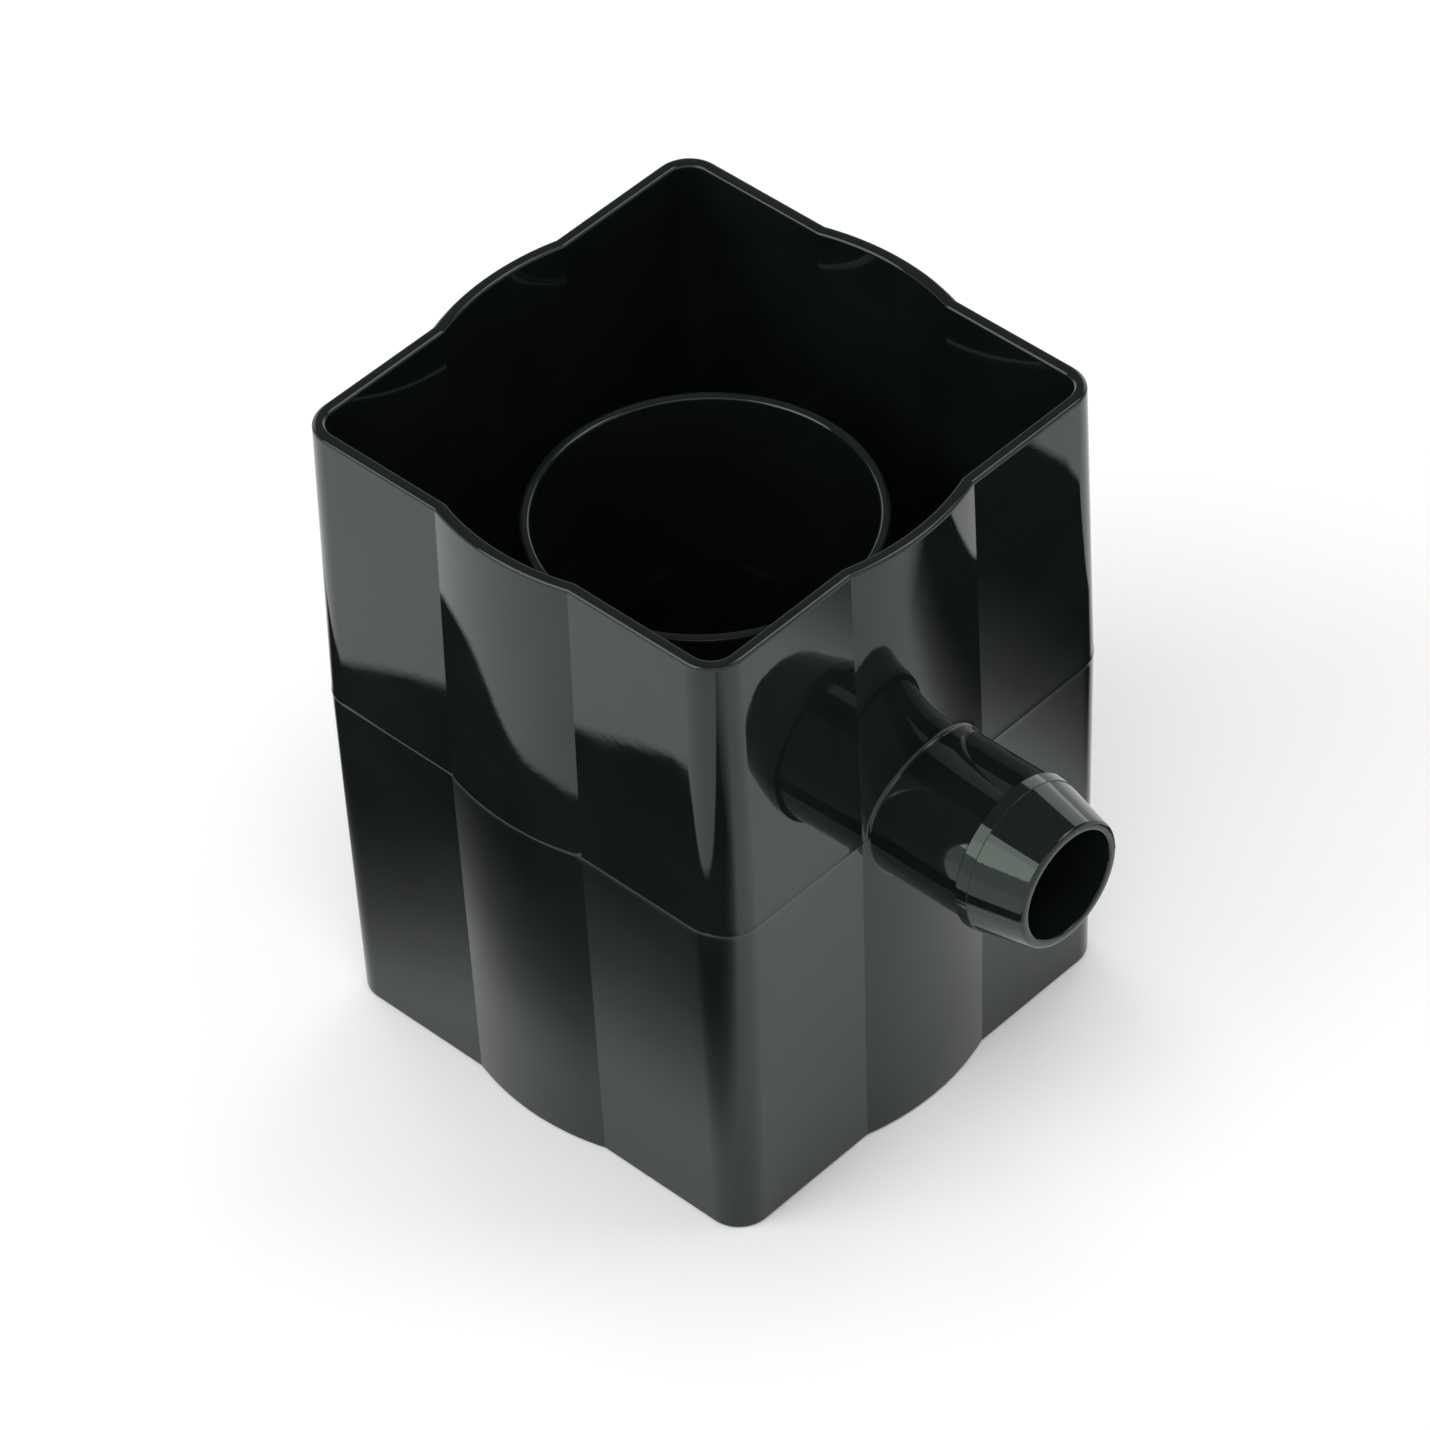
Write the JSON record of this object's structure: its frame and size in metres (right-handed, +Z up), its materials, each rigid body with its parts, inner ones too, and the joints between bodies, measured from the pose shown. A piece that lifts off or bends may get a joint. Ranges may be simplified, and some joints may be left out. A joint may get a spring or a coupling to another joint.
{
  "type": "rainwater diverter",
  "caption": "Moulded rainwater diverter box set into a square or round downpipe: open sockets at its ends, a weir tube with a gutter round it inside, and a barbed hose spigot.",
  "frame": {"origin": "on the downpipe's axis, in the plane of the lower rim: the middle of the lower socket's mouth", "axes": "+Z up along the downpipe's axis, -Y out along the hose spigot, +X to the right seen from the spigot"},
  "size_m": [0.0744, 0.0965, 0.097],
  "materials": {
    "body": "smooth gloss black moulding"
  },
  "bodies": {
    "root": {"diverter_body": "body"}
  },
  "joints": []
}
